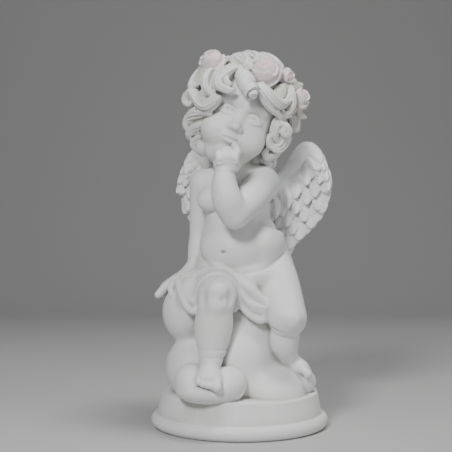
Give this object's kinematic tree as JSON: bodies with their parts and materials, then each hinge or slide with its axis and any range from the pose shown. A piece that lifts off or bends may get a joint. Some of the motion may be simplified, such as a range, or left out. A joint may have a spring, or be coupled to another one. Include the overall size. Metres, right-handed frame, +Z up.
{
  "type": "seated putto statue",
  "caption": "Winged child figure seated on a cloud with one hand at the mouth, roses in the hair, draped lap and a round plinth, cast in one piece.",
  "frame": {"origin": "centre of the round plinth's underside", "axes": "+Z up, -Y towards the side the figure faces, +X towards the figure's left, where the free wing stands out"},
  "size_m": [0.2548, 0.2376, 0.4973],
  "materials": {
    "cast_stone": "matte white cast marble dust and plaster, satin on the high places"
  },
  "bodies": {
    "root": {"putto_statue": "cast_stone"}
  },
  "joints": []
}
